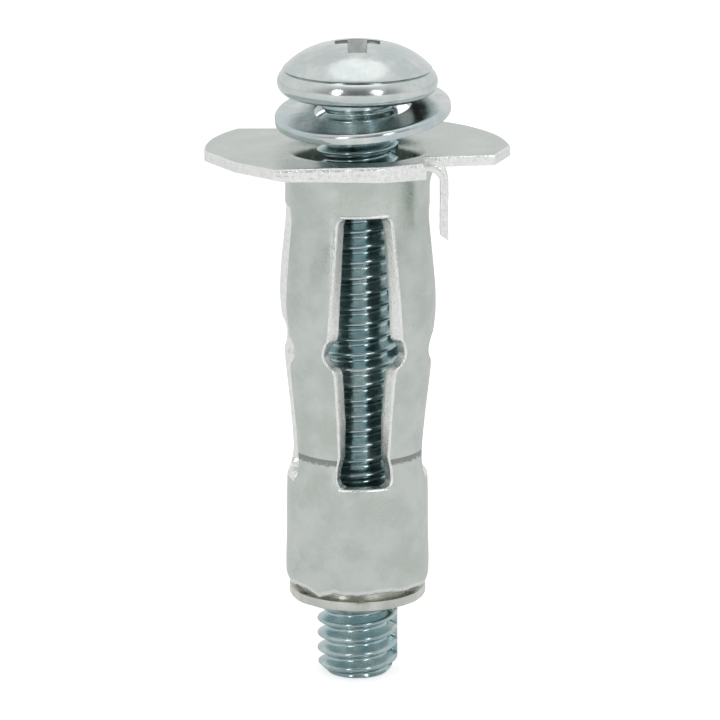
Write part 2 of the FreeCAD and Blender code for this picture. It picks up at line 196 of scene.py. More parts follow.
def revolve(name, profile, segments=128, closed=False, shape=None, sharp_above=40.0):
    """A profile of (radius, z) turned about Z. shape(radius, angle, z) moves each point."""
    points = []
    for radius, z in profile:
        for k in range(segments):
            angle = 2 * math.pi * k / segments
            spot = (radius, angle, z)
            points.append(polar(*(shape(*spot) if shape else spot)))
    faces = ring_faces(len(profile), segments, closed, True)
    return make_mesh(name, points, faces, sharp_above=sharp_above)


def arc(centre, radius, start, end, steps):
    """Points of an arc in the profile plane, angles in degrees."""
    return [
        (
            centre[0] + radius * math.cos(math.radians(start + (end - start) * k / steps)),
            centre[1] + radius * math.sin(math.radians(start + (end - start) * k / steps)),
        )
        for k in range(steps + 1)
    ]


def apply_modifiers(obj):
    graph = bpy.context.evaluated_depsgraph_get()
    made = bpy.data.meshes.new_from_object(obj.evaluated_get(graph))
    obj.modifiers.clear()
    obj.data = made


def boolean(obj, cutter, operation="DIFFERENCE"):
    change = obj.modifiers.new("boolean", "BOOLEAN")
    change.object = cutter
    change.operation = operation
    change.solver = "EXACT"
    apply_modifiers(obj)
    bpy.data.objects.remove(cutter)


# ---- the sleeve's walls -----------------------------------------------------------------------


def slot_angle(number):
    """Direction of a slot's middle. Slot 0 is on the +X side, and leg k lies after slot k - 2."""
    return math.radians(SLOT_TURN + 90 * number)


def angle_to_slot(angle):
    """How far the nearest slot's middle is from that angle."""
    return min(
        abs((angle - slot_angle(n) + math.pi) % (2 * math.pi) - math.pi) for n in range(4)
    )


def in_slot(angle, radius, half_width):
    """1 where a slot of that half width is open at that angle and radius, 0 elsewhere."""
    return 1.0 if angle_to_slot(angle) * radius < half_width else 0.0


def flattened(radius, angle, z):
    """The press leaves a flat over each slot, from the flange to just under the slot's top."""
    across = angle_to_slot(angle) / FLAT_HALF_ANGLE
    depth = FLAT_DEPTH * smoothstep(-0.6, -1.3, z) * smoothstep(-6.5, -3.0, z)
    return radius - depth * max(0.0, 1 - across * across)


def wall_radius(angle, z):
    """Outer radius of the sleeve's wall, with the slight waves of pressed sheet."""
    radius = flattened(smooth_profile(z), angle, z)
    return radius + SHEET_WAVE * wander(1, 3 * math.cos(angle), 3 * math.sin(angle), z * 0.5)


EDGE_STEPS = (0.0, 0.02, 0.05, 0.09, 0.13, ROLL_WIDTH, 0.3)
SHEARED_BAND = 0.1
CUT_FACE_SHARES = (0.3, 0.65, 0.94)
SKIN_STEPS = 22


def edge_drop(distance):
    """How far the skin rolls over at that distance from a sheared edge."""
    if distance >= ROLL_WIDTH:
        return 0.0
    t = 1 - distance / ROLL_WIDTH
    return ROLL_DEPTH * (1 - math.sqrt(max(0.0, 1 - t * t)))


def leg_section(leg, z):
    """The closed loop of points round one leg's wall at height z, and which of them are sheared."""
    half = interpolate(SLOT_SIDES, z)
    inner_half = half - interpolate(SLOT_FLARE, z)
    radius = smooth_profile(z)
    first, last = slot_angle(leg - 2), slot_angle(leg - 1)
    jitter = [EDGE_JITTER * wander(10 + leg, z * 2.1, side) for side in (0, 7)]
    start = first + math.asin((half + jitter[0]) / radius)
    end = last - math.asin((half + jitter[1]) / radius)
    inside = radius - SHEET
    inner_start = first + math.asin((inner_half + jitter[0]) / inside)
    inner_end = last - math.asin((inner_half + jitter[1]) / inside)

    width = (end - start) * radius
    margin = EDGE_STEPS[-1]
    middle = [margin + (width - 2 * margin) * k / SKIN_STEPS for k in range(1, SKIN_STEPS)]
    distances = list(EDGE_STEPS) + middle + [width - d for d in reversed(EDGE_STEPS)]
    points, marks = [], []
    for d in distances:
        angle = start + d / radius
        from_edge = min(d, width - d)
        points.append(polar(wall_radius(angle, z) - edge_drop(from_edge), angle, z))
        marks.append(1.0 if from_edge < SHEARED_BAND else 0.0)
    turns = [
        inner_end + (inner_start - inner_end) * k / SKIN_STEPS for k in range(SKIN_STEPS + 1)
    ]
    skin = [polar(flattened(inside, angle, z), angle, z) for angle in turns]
    right_face, left_face = cut_face(points[-1], skin[0]), cut_face(skin[-1], points[0])
    points += right_face + skin + left_face
    marks += [1.0] * len(right_face) + [0.0] * len(skin) + [1.0] * len(left_face)
    return points, marks


def cut_face(a, b):
    """Points across the sheet's thickness, between the corners a and b."""
    return [tuple(a[i] + (b[i] - a[i]) * share for i in range(3)) for share in CUT_FACE_SHARES]


def leg_heights(top, bottom, spacing):
    """Rows of a stretch of leg: even steps, and every corner of the slot's outline."""
    steps = max(1, round((top - bottom) / spacing))
    rows = [top + (bottom - top) * k / steps for k in range(steps + 1)]
    for z, _ in SLOT_SIDES:
        if bottom < z < top:
            rows = [r for r in rows if abs(r - z) > 0.3 * spacing or r in (top, bottom)]
            rows.append(z)
    return sorted(set(rows), reverse=True)


def leg_piece(name, leg, top, bottom, spacing=0.16):
    """One stretch of a leg's wall, closed at both ends."""
    points, marks, columns = [], [], 0
    rows = leg_heights(top, bottom, spacing)
    for z in rows:
        section, sheared = leg_section(leg, z)
        columns = len(section)
        points += section
        marks += sheared
    faces = ring_faces(len(rows), columns, False, True)
    outer = columns - 2 * len(CUT_FACE_SHARES) - (SKIN_STEPS + 1)
    for row in (0, len(rows) - 1):
        faces += cap_faces(row * columns, columns, outer)
    return make_mesh(name, points, faces, marks)


def cap_faces(start, columns, outer):
    """Closes a wall's section with quads between its outer skin and the rest of its loop."""
    inner = columns - outer
    faces = []
    for k in range(outer - 1):
        a = columns - 1 - round(k * (inner - 1) / (outer - 1))
        b = columns - 1 - round((k + 1) * (inner - 1) / (outer - 1))
        corners = [start + k, start + k + 1, start + b, start + a]
        faces.append(tuple(dict.fromkeys(corners)))
    return faces


# ---- the flange and the collar's tube ---------------------------------------------------------

FRONT_LEFT = (-4.1, -5.3)
FRONT_MIDDLE = (1.3, -4.72)
FRONT_RIGHT = (3.45, -3.75)
LANCE_ROOT = (3.45, -2.3)
LANCE_TIP = (6.85, -1.85)
WING_MIDDLE = (-6.1, -3.5)
WING_SIDE_Y = -0.9
WING_END_Y = 0.35
BACK_EDGE = 4.6
BACK_LEFT = 4.0


def flange_outline():
    """Corners of the flange, as angles, and a function that gives its edge's radius."""
    radius = FLANGE_RADIUS

    def on_circle(y, side):
        return (side * math.sqrt(radius ** 2 - y ** 2), y)

    front = [
        on_circle(WING_END_Y, 1), LANCE_TIP, LANCE_ROOT, FRONT_RIGHT, FRONT_MIDDLE, FRONT_LEFT,
        WING_MIDDLE, on_circle(WING_SIDE_Y, -1),
    ]
    back = [
        on_circle(BACK_EDGE, -1), (-BACK_LEFT, BACK_EDGE),
        (-BACK_LEFT, math.sqrt(radius ** 2 - BACK_LEFT ** 2)),
    ]
    straight = list(zip(front, front[1:])) + list(zip(back, back[1:]))

    def edge(angle):
        direction = (math.cos(angle), math.sin(angle))
        best = radius
        for a, b in straight:
            dx, dy = b[0] - a[0], b[1] - a[1]
            cross = direction[0] * dy - direction[1] * dx
            if abs(cross) < 1e-9:
                continue
            reach = (a[0] * dy - a[1] * dx) / cross
            share = (a[0] * direction[1] - a[1] * direction[0]) / cross
            if reach > 0 and -1e-6 <= share <= 1 + 1e-6:
                best = min(best, reach)
        return best

    return [math.atan2(y, x) for x, y in front + back], edge


CORNER_GAP = 0.004


def collar_piece():
    """The flange and the tube under it, with a pair of columns close to every corner."""
    corners, edge = flange_outline()
    angles = [math.radians(a * 1.25) for a in range(288)]
    for corner in corners:
        angles = [
            a for a in angles
            if abs((a - corner + math.pi) % (2 * math.pi) - math.pi) > 2 * CORNER_GAP
        ]
        angles += [(corner + shift) % (2 * math.pi) for shift in (-CORNER_GAP, CORNER_GAP)]
    angles.sort()
    columns = [collar_column(angle, edge(angle)) for angle in angles]
    rows = len(columns[0])
    points = [column[r][0] for r in range(rows) for column in columns]
    marks = [column[r][1] for r in range(rows) for column in columns]
    faces = ring_faces(rows, len(columns), True, True)
    return make_mesh("sleeve_collar", points, faces, marks)


def collar_column(angle, edge):
    """The closed section of the collar at one angle, as (point, sheared) pairs."""
    inner = TUBE_RADIUS - SHEET
    across = edge * math.cos(angle)
    in_front = 0.0
    if math.sin(angle) < 0 and across <= FRONT_RIGHT[0] + 0.02:
        in_front = smoothstep(FRONT_LEFT[0] - 0.1, FRONT_LEFT[0] + 0.5, across)
    waves = 0.05 * wander(3, 2.2 * math.cos(angle), 2.2 * math.sin(angle))
    edge += 0.02 * wander(4, 9 * math.cos(angle), 9 * math.sin(angle)) - 0.02
    dish = 0.03 * wander(5, 0.8 * math.cos(angle), 0.8 * math.sin(angle)) - 0.03
    spots = []

    def add(radius, z, sheared=0.0):
        spots.append((polar(radius, angle, z), sheared))

    for k in range(9):
        z = SLOT_TOP + (PLATE_TOP - MOUTH_ROUND - SLOT_TOP) * k / 8
        add(flattened(inner, angle, z), z)
    for k in range(1, 7):
        turn = math.radians(90 * k / 6)
        add(
            inner + MOUTH_ROUND * (1 - math.cos(turn)) + waves * math.sin(turn),
            PLATE_TOP - MOUTH_ROUND + MOUTH_ROUND * math.sin(turn) - 0.02,
        )
    roll = 0.1 + 0.08 * in_front
    lip = in_front * (0.1 + 0.2 * smoothstep(FRONT_LEFT[0], FRONT_RIGHT[0], across))
    start, finish = inner + MOUTH_ROUND + waves, edge - roll
    finish = max(finish, start + 0.05)
    for k in range(1, 11):
        share = k / 10
        radius = start + (finish - start) * share
        away = smoothstep(TUBE_RADIUS, FLANGE_RADIUS, radius)
        add(radius, PLATE_TOP - 0.012 + dish * away * 0.5)
    outer_z = PLATE_TOP - 0.012 + dish * smoothstep(TUBE_RADIUS, FLANGE_RADIUS, edge) * 0.5
    for k in range(1, 7):
        turn = math.radians(90 * k / 6)
        add(
            finish + (edge - finish) * math.sin(turn),
            outer_z - roll * (1 - math.cos(turn)), 1.0,
        )
    lowest = underside(edge) - lip
    for k in range(1, 6):
        share = k / 6
        rough = 0.02 * wander(6, 14 * math.cos(angle), 14 * math.sin(angle), share * 3)
        add(edge - 0.01 + rough, outer_z - roll + (lowest + roll - outer_z) * share, 1.0)
    bend = TUBE_RADIUS + UNDER_ROUND
    middle = min(bend, TUBE_RADIUS + 0.75 * (edge - TUBE_RADIUS))
    for k in range(5):
        radius = edge - 0.02 + (middle - edge + 0.02) * k / 5
        inward = (edge - 0.02 - radius) / 0.5
        add(radius, underside(radius) - lip * max(0.0, 1 - inward), 1.0 if k == 0 else 0.0)
    for k in range(7):
        share = math.sin(math.radians(90 * k / 6))
        radius = middle + (TUBE_RADIUS - middle) * share
        add(radius, underside(radius))
    for k in range(1, 11):
        z = -UNDER_ROUND + (SLOT_TOP + ROLL_WIDTH + UNDER_ROUND) * k / 10
        add(wall_radius(angle, z), z)
    share = in_slot(angle, TUBE_RADIUS, SLOT_SIDES[1][1])
    for distance in (0.13, 0.09, 0.05, 0.02, 0.0):
        z = SLOT_TOP + distance
        add(wall_radius(angle, z) - edge_drop(distance) * share, z, share)
    add(TUBE_RADIUS - 0.5 * SHEET, SLOT_TOP, 1.0)
    return spots


def underside(radius):
    """Height of the flange's underside and of its bend into the tube."""
    bend = TUBE_RADIUS + UNDER_ROUND
    if radius >= bend:
        return 0.0
    return -UNDER_ROUND + math.sqrt(max(0.0, UNDER_ROUND ** 2 - (radius - bend) ** 2))


PRONG_OUT = 4.5
PRONG_THICK = 0.42
PRONG_FRONT = FRONT_RIGHT[1] - 0.03
PRONG_BACK = LANCE_ROOT[1] - 0.04
PRONG_TIP = -3.4
PRONG_BEND = 0.8
PRONG_TIP_SLANT = 0.3
PRONG_CORNER = 0.07


def prong_piece():
    """The prong bent down from the flange: a strip whose path leaves the flange and turns down."""
    top = PLATE_TOP - 0.03 - PRONG_THICK / 2
    centre_x = PRONG_OUT - PRONG_THICK / 2 - PRONG_BEND
    centre_z = top - PRONG_BEND
    path = [(centre_x - 0.7, top, 90.0), (centre_x - 0.3, top, 90.0)]
    for k in range(13):
        turn = 90 - 90 * k / 12
        x = centre_x + PRONG_BEND * math.cos(math.radians(turn))
        z = centre_z + PRONG_BEND * math.sin(math.radians(turn))
        path.append((x, z, turn))
    straight = 16
    for k in range(1, straight + 1):
        path.append((centre_x + PRONG_BEND, centre_z + (PRONG_TIP - centre_z) * k / straight, 0.0))
    points, marks = [], []
    section = prong_section()
    for number, (x, z, turn) in enumerate(path):
        down = smoothstep(len(path) - 5, len(path) - 1, number)
        out = (math.cos(math.radians(turn)), math.sin(math.radians(turn)))
        for across, y, sheared in section:
            lift = down * PRONG_TIP_SLANT * (0.5 - across / PRONG_THICK)
            wave = 0.015 * wander(8, z * 2.0, y)
            points.append((x + across * out[0] + wave, y, z + across * out[1] + lift))
            marks.append(sheared)
    columns = len(section)
    faces = ring_faces(len(path), columns, False, True)
    faces += [tuple(range(columns)), tuple(range(len(points) - columns, len(points)))]
    return make_mesh("sleeve_prong", points, faces, marks, sharp_above=50)


def prong_section():
    """Section across the prong: thickness, width, and 1 on its sheared sides."""
    half, corner = PRONG_THICK / 2, PRONG_CORNER
    loop = []
    for sx, sy, turn in ((1, 1, 0), (-1, 1, 90), (-1, -1, 180), (1, -1, 270)):
        edge_y = PRONG_BACK if sy > 0 else PRONG_FRONT
        for k in range(4):
            angle = math.radians(turn + 30 * k)
            loop.append((
                sx * (half - corner) + corner * math.cos(angle),
                edge_y - sy * corner + corner * math.sin(angle),
                1.0,
            ))
    return loop


# ---- the nut cage and the nut -----------------------------------------------------------------


STUB_SPACING = 0.1
CAGE_SEGMENTS = 224
TONGUE_ANGLE = 237.0
TONGUE_REACH = 14.0
TONGUE_LENGTH = 0.4


def cage_tube():
    """The closed tube under the slots, with its rim crimped over the nut."""
    points, marks = [], []
    inner = smooth_profile(-18.0) - SHEET
    for k in range(CAGE_SEGMENTS):
        angle = 2 * math.pi * k / CAGE_SEGMENTS
        for point, sheared in cage_column(angle, inner):
            points.append(point)
            marks.append(sheared)
    rows = len(points) // CAGE_SEGMENTS
    return make_mesh("cage_tube", points, ring_faces(CAGE_SEGMENTS, rows, True, True), marks)


def cage_column(angle, inner):
    """The closed section of the tube at one angle, with a ragged rim and one longer tongue."""
    x, y = math.cos(angle), math.sin(angle)
    rim = CAGE_RIM + 0.32 + 0.2 * wander(21, 2.3 * x, 2.3 * y) + 0.07 * wander(22, 9 * x, 9 * y)
    tongue = max(0.0, 1 - abs(math.degrees(angle) - TONGUE_ANGLE) / TONGUE_REACH)
    rim = max(rim - TONGUE_LENGTH * tongue, CAGE_RIM)
    slotted = in_slot(angle, smooth_profile(SLOT_FOOT), SLOT_SIDES[-2][1])
    spots = []
    for distance in (0.0, 0.02, 0.05, 0.09, 0.13, ROLL_WIDTH):
        z = SLOT_FOOT - distance
        radius = wall_radius(angle, z) - edge_drop(distance) * slotted
        spots.append((polar(radius, angle, z), slotted if distance < SHEARED_BAND else 0.0))
    top = SLOT_FOOT - ROLL_WIDTH
    steps = 30
    for k in range(1, steps + 1):
        z = top + (rim + 0.3 - top) * k / steps
        bulge = 0.03 * smoothstep(-19.0, -21.0, z)
        spots.append((polar(wall_radius(angle, z) + bulge, angle, z), 0.0))
    outer = wall_radius(angle, rim) + 0.03
    for k in range(1, 6):
        turn = math.radians(90 * k / 5)
        radius = outer - 0.16 * (1 - math.cos(turn))
        spots.append((polar(radius, angle, rim + 0.3 - 0.3 * math.sin(turn)), 0.6))
    spots.append((polar(outer - 0.34, angle, rim + 0.02), 1.0))
    spots.append((polar(inner, angle, rim + 0.06), 1.0))
    for k in range(1, 10):
        z = rim + (SLOT_FOOT - rim) * k / 9
        spots.append((polar(inner, angle, z), 0.0))
    spots.append((polar(inner + 0.3, angle, SLOT_FOOT), 1.0))
    return spots


THREAD_PITCH = 0.79375
THREAD_CREST = 2.06
THREAD_ROOT = 1.6
NUT_BORE = 2.16
NUT_LIP = 3.52
NUT_LIP_DROP = 0.45
NUT_BARREL = 2.96


def nut_piece():
    """The nut: a plain barrel in the cage, a worn conical lip under it, and a turned bore."""
    top = high("nut")
    lip_top = CAGE_RIM - 0.04
    lip_edge = min(lip_top - 0.1, NUT_FACE + NUT_LIP_DROP)
    profile = [(NUT_BORE, top - 0.25), (NUT_BORE + 0.25, top)]
    profile += [(NUT_BARREL - 0.2, top), (NUT_BARREL, top - 0.2)]
    profile += [(NUT_BARREL, lip_top), (NUT_LIP - 0.14, lip_top), (NUT_LIP - 0.04, lip_top - 0.04)]
    profile += [(NUT_LIP, lip_top - 0.14), (NUT_LIP, lip_edge + 0.12), (NUT_LIP - 0.06, lip_edge)]
    cone = 10
    profile += [
        (NUT_LIP - 0.06 + (2.42 - NUT_LIP) * k / cone, lip_edge + (NUT_FACE - lip_edge) * k / cone)
        for k in range(1, cone + 1)
    ]
    profile += [(NUT_BORE + 0.06, NUT_FACE), (NUT_BORE, NUT_FACE + 0.08)]
    bore = 14
    profile += [
        (NUT_BORE, NUT_FACE + 0.08 + (top - 0.33 - NUT_FACE) * k / bore) for k in range(1, bore)
    ]

    def worn(radius, angle, z):
        if radius > NUT_BARREL + 0.1 and z < lip_top - 0.05:
            x, y = math.cos(angle), math.sin(angle)
            radius += 0.035 * wander(31, 2.6 * x, 2.6 * y, z) - 0.03
            z += 0.02 * wander(32, 6 * x, 6 * y)
            z = max(z, NUT_FACE)
        return radius, angle, z

    return revolve("nut_turned", profile, 160, True, worn)


# ---- washer and screw -------------------------------------------------------------------------

WASHER_RADIUS = 4.42
WASHER_HOLE = 2.42
WASHER_THICK = 0.5
SIDE_TILT = math.radians(5.0)
FRONT_TILT = math.radians(6.8)


def washer_piece():
    """A flat ring with a rolled upper edge and a sheared lower one, lying askew."""
    half = WASHER_THICK / 2
    profile = arc((WASHER_HOLE + 0.1, half - 0.1), 0.1, 180, 90, 4)
    flat = WASHER_RADIUS - WASHER_HOLE - 0.32
    profile += [(WASHER_HOLE + 0.1 + flat * k / 8, half) for k in range(1, 8)]
    profile += arc((WASHER_RADIUS - 0.2, half - 0.2), 0.2, 90, 0, 6)
    profile += arc((WASHER_RADIUS - 0.05, 0.05 - half), 0.05, 0, -90, 3)
    profile += [(WASHER_HOLE + 0.08, -half), (WASHER_HOLE, 0.06 - half)]

    turned = Matrix.Rotation(
        math.hypot(SIDE_TILT, FRONT_TILT), 3, Vector((FRONT_TILT, -SIDE_TILT, 0.0))
    )

    def tilted(radius, angle, z):
        spot = Vector(polar(radius, angle, z))
        spot.z += 0.02 * wander(41, spot.x * 0.4, spot.y * 0.4)
        spot = turned @ spot + WASHER_CENTRE
        return math.hypot(spot.x, spot.y), math.atan2(spot.y, spot.x), spot.z

    return revolve("washer_plate", profile, 160, True, tilted)


HEAD_UNDER = HEAD_TOP - 2.68
HEAD_RIM = 1.32
HEAD_ROLL = 0.62
CROWN_BASE = 3.74
CROWN_SPHERE = (CROWN_BASE ** 2 + (HEAD_TOP - HEAD_UNDER - HEAD_RIM) ** 2) / (
    2 * (HEAD_TOP - HEAD_UNDER - HEAD_RIM)
)
NECK_TOP = HEAD_UNDER + 0.1
NECK_BOTTOM = 2.75
NECK_RADIUS = 1.78
SLOT_WIDTH = 1.0
SLOT_LENGTH = 4.0
SLOT_DEPTH = 1.25
SLOT_END_TAPER = 0.5
CROSS_WIDTH = 0.95
CROSS_LENGTH = 2.3
CROSS_DEPTH = 1.75
CROSS_TAPER = math.tan(math.radians(12))


def dome_height(radius):
    """Height of the crown, a cap a little fuller than a sphere's, at a radius."""
    share = (radius / CROWN_BASE) ** 2
    fullness = 0.45 * share * (1 - share)
    return HEAD_TOP - CROWN_SPHERE + math.sqrt(CROWN_SPHERE ** 2 - radius ** 2) + fullness


def head_piece():
    """A rolled rim, a crease, and a crown with the slot and the cross pressed into it."""
    rim_middle = HEAD_UNDER + 0.5 * HEAD_RIM
    profile = [(NECK_RADIUS - 0.2, HEAD_UNDER), (HEAD_RADIUS - 0.75, HEAD_UNDER)]
    for k in range(1, 20):
        turn = math.radians(-84 + 164 * k / 19)
        profile.append((
            HEAD_RADIUS - HEAD_ROLL + HEAD_ROLL * math.cos(turn),
            rim_middle + (0.5 * HEAD_RIM) * math.sin(turn),
        ))
    rings = 30
    for k in range(rings):
        radius = CROWN_BASE * (1 - (k / rings) ** 1.15)
        profile.append((radius, max(dome_height(radius), HEAD_UNDER + HEAD_RIM - 0.06)))
    points = []
    segments = 160
    for radius, z in profile:
        for k in range(segments):
            angle = 2 * math.pi * k / segments
            dent = 0.012 * wander(51, 3 * math.cos(angle), 3 * math.sin(angle), z * 2)
            points.append(polar(radius + min(0.0, dent), angle, z))
    points += [(0.0, 0.0, HEAD_TOP)]
    faces = ring_faces(len(profile), segments, False, True)
    last = (len(profile) - 1) * segments
    faces += [(last + k, last + (k + 1) % segments, len(points) - 1) for k in range(segments)]
    faces.append(tuple(range(segments)))
    head = make_mesh("screw_head", points, faces)
    slot = (SLOT_WIDTH / 2, SLOT_LENGTH / 2, SLOT_DEPTH, SLOT_END_TAPER)
    boolean(head, tapered_block("slot", *slot))
    wing = (CROSS_WIDTH / 2, CROSS_LENGTH / 2, CROSS_DEPTH, CROSS_TAPER)
    for turned in (False, True):
        boolean(head, tapered_block("wing", *wing, turned))
    bevel = head.modifiers.new("worn edges", "BEVEL")
    bevel.width = 0.06 * MM
    bevel.segments = 3
    bevel.limit_method = "ANGLE"
    bevel.angle_limit = math.radians(40)
    apply_modifiers(head)
    finish_mesh(head, 42)
    return head


def tapered_block(name, half_width, half_length, depth, taper, turned=False):
    """A punch with sloping ends, for a slot or for one wing of the cross."""
    top, bottom = HEAD_TOP + 0.5, HEAD_TOP - depth
    points = []
    for z, shrink in ((bottom, depth * taper), (top, -0.5 * taper)):
        for sx, sy in ((-1, -1), (1, -1), (1, 1), (-1, 1)):
            x, y = sx * (half_width - 0.25 * shrink), sy * (half_length - shrink)
            points.append((y, x, z) if turned else (x, y, z))
    faces = [(0, 1, 2, 3), (4, 5, 6, 7), (0, 1, 5, 4), (1, 2, 6, 5), (2, 3, 7, 6), (3, 0, 4, 7)]
    return make_mesh(name, points, faces)


def thread_radius(turn_share):
    """Radius of a rolled thread at a share of its pitch, 0 on the crest."""
    away = 2 * min(turn_share, 1 - turn_share)
    flank = smoothstep(0.1, 0.9, away) * 0.55 + 0.45 * min(1.0, max(0.0, (away - 0.12) / 0.76))
    return THREAD_CREST - (THREAD_CREST - THREAD_ROOT) * flank


def shank_piece():
    """The threaded shank: a grid whose rows climb with the thread."""
    segments, steps = 72, 18
    rows = int((NECK_TOP - TIP_Z) / THREAD_PITCH * steps) + 2 * steps
    points = []
    for row in range(rows + 1):
        for k in range(segments):
            share = k / segments
            z = TIP_Z + THREAD_PITCH * (row / steps + share - 1)
            z = min(max(z, TIP_Z), NECK_TOP)
            radius = thread_radius(((z - TIP_Z) / THREAD_PITCH - share) % 1.0)
            blunt = (z - TIP_Z) + THREAD_CREST - 0.5
            radius = min(radius, blunt)
            run_out = smoothstep(NECK_BOTTOM - 0.45, NECK_BOTTOM, z)
            radius += (NECK_RADIUS - radius) * run_out
            points.append(polar(radius, 2 * math.pi * share, z))
    faces = ring_faces(rows + 1, segments, False, True)
    centre = len(points)
    points += [(0.0, 0.0, TIP_Z + 0.03), (0.0, 0.0, NECK_TOP)]
    faces += [(k, (k + 1) % segments, centre) for k in range(segments)]
    last = rows * segments
    faces += [(last + k, last + (k + 1) % segments, centre + 1) for k in range(segments)]
    return make_mesh("screw_shank", points, faces, sharp_above=55)


# ---- materials --------------------------------------------------------------------------------

ZINC_PALE = (0.66, 0.70, 0.67)
ZINC_DULL = (0.55, 0.60, 0.56)
ZINC_DARK = (0.36, 0.40, 0.38)
# Dark tone used both for real pits and for the painted shade in the leg creases.
ZINC_STAIN_AND_SHADE = (0.22, 0.24, 0.23)
# Near-white colour of the sheared edges: part bare cut metal, part painted highlight.
ZINC_BARE_AND_GLINT = (0.93, 0.94, 0.93)
RUST = (0.22, 0.11, 0.05)


class Shader:
    """A short way to write a node tree: each call makes a node and returns its first output."""

    def __init__(self, name):
        self.material = bpy.data.materials.new(name)
        self.material.use_nodes = True
        self.tree = self.material.node_tree
        self.surface = self.tree.nodes["Principled BSDF"]

    def node(self, kind, inputs=(), output=0, **settings):
        made = self.tree.nodes.new(kind)
        for key, setting in settings.items():
            setattr(made, key, setting)
        for key, source in dict(inputs).items():
            if isinstance(source, bpy.types.NodeSocket):
                self.tree.links.new(source, made.inputs[key])
            else:
                made.inputs[key].default_value = source
        return made.outputs[output]

    def place(self, stretch=(1.0, 1.0, 1.0)):
        """The point's place at rest, in millimetres, so that patterns stay on the metal."""
        spot = self.node("ShaderNodeAttribute", output=1, attribute_name="place")
        scale = tuple(s / MM for s in stretch)
        return self.node("ShaderNodeVectorMath", {0: spot, 1: scale}, operation="MULTIPLY")

    def noise(self, scale, detail=4.0, roughness=0.55, stretch=(1.0, 1.0, 1.0), distortion=0.0):
        return self.node("ShaderNodeTexNoise", {
            "Vector": self.place(stretch), "Scale": scale, "Detail": detail,
            "Roughness": roughness, "Distortion": distortion,
        })

    def ramp(self, value, low, high, bottom=0.0, top=1.0):
        return self.node("ShaderNodeMapRange", {
            "Value": value, "From Min": low, "From Max": high, "To Min": bottom, "To Max": top,
        }, interpolation_type="SMOOTHSTEP")

    def mix(self, share, a, b):
        made = self.tree.nodes.new("ShaderNodeMix")
        made.data_type = "RGBA"
        for socket, source in ((made.inputs[0], share), (made.inputs[6], a), (made.inputs[7], b)):
            if isinstance(source, bpy.types.NodeSocket):
                self.tree.links.new(source, socket)
            else:
                socket.default_value = (*source, 1.0) if isinstance(source, tuple) else source
        return made.outputs[2]

    def math(self, operation, a, b=0.0, clamp=False):
        return self.node("ShaderNodeMath", {0: a, 1: b}, operation=operation, use_clamp=clamp)

    def bump(self, height, strength, distance, normal=None):
        inputs = {"Height": height, "Strength": strength, "Distance": distance}
        if normal is not None:
            inputs["Normal"] = normal
        return self.node("ShaderNodeBump", inputs)

    def link(self, source, socket):
        self.tree.links.new(source, self.surface.inputs[socket])

    def set(self, **values):
        for key, setting in values.items():
            self.surface.inputs[key.replace("_", " ")].default_value = setting


def zinc_sleeve():
    """Dull drawn zinc: soft clouds, lengthwise scratches, pits, a painted shade line in the foot
    creases, and sheared edges painted brighter, partly bare metal and partly painted highlight.
    """
    shader = Shader("sleeve_zinc")
    clouds = shader.noise(0.55, 5.0, 0.6)
    fine = shader.noise(5.0, 6.0, 0.65)
    scratches = shader.noise(2.4, 5.0, 0.6, (2.2, 2.2, 0.16))
    pits = shader.noise(2.1, 8.0, 0.75, distortion=0.6)
    base = shader.mix(shader.ramp(clouds, 0.35, 0.68), ZINC_DULL, ZINC_PALE)
    base = shader.mix(shader.ramp(fine, 0.62, 0.8, 0.0, 0.35), base, ZINC_DARK)
    base = shader.mix(shader.ramp(pits, 0.66, 0.72, 0.0, 0.75), base, ZINC_STAIN_AND_SHADE)
    sheared = shader.node("ShaderNodeAttribute", output=2, attribute_name="sheared")
    torn = shader.noise(6.0, 5.0, 0.7, (1.0, 1.0, 0.6))
    # Sheared edges are painted near white: part bare metal, part a painted highlight where the
    # edges catch the lamps.
    bare_and_glint = shader.math("MULTIPLY", sheared, shader.ramp(torn, 0.3, 0.6, 0.6, 1.0))
    base = shader.mix(bare_and_glint, base, ZINC_BARE_AND_GLINT)
    # Painted shade in the crease at each leg's foot, kept off the sheared edges.
    crease = shader.math("MULTIPLY", foot_crease_shade(shader), shader.math("SUBTRACT", 1.0, sheared))
    base = shader.mix(shader.math("MULTIPLY", crease, 0.8), base, ZINC_STAIN_AND_SHADE)
    base = shader.mix(rust_share(shader), base, RUST)
    shader.link(base, "Base Color")
    rough = shader.ramp(clouds, 0.3, 0.7, 0.25, 0.36)
    rough = shader.math("ADD", rough, shader.ramp(fine, 0.3, 0.8, -0.03, 0.07))
    rough = shader.math("SUBTRACT", rough, shader.math("MULTIPLY", sheared, 0.06))
    rough = shader.math("ADD", rough, shader.math("MULTIPLY", rust_share(shader), 0.3))
    shader.link(rough, "Roughness")
    normal = shader.bump(scratches, 0.25, 0.02 * MM)
    normal = shader.bump(fine, 0.25, 0.012 * MM, normal)
    normal = shader.bump(shader.math("MULTIPLY", torn, sheared), 0.5, 0.04 * MM, normal)
    normal = shader.bump(shader.math("MULTIPLY", crease, -1.0), 0.6, 0.08 * MM, normal)
    shader.link(normal, "Normal")
    shader.set(Metallic=1.0)
    return shader.material


def foot_crease_shade(shader):
    """A painted shade line in the crushed crease at each leg's foot, over the lower fold, with a
    ragged lower side.
    """
    height = shader.node("ShaderNodeSeparateXYZ", {0: shader.place()}, output=2)
    ragged = shader.math("MULTIPLY", shader.noise(4.0, 4.0, 0.7), 0.5)
    lower = shader.ramp(shader.math("SUBTRACT", height, ragged), FOOT_Z + 0.05, FOOT_Z + 0.2)
    upper = shader.ramp(height, FOOT_Z + 0.68, FOOT_Z + 0.6)
    return shader.math("MULTIPLY", lower, upper)


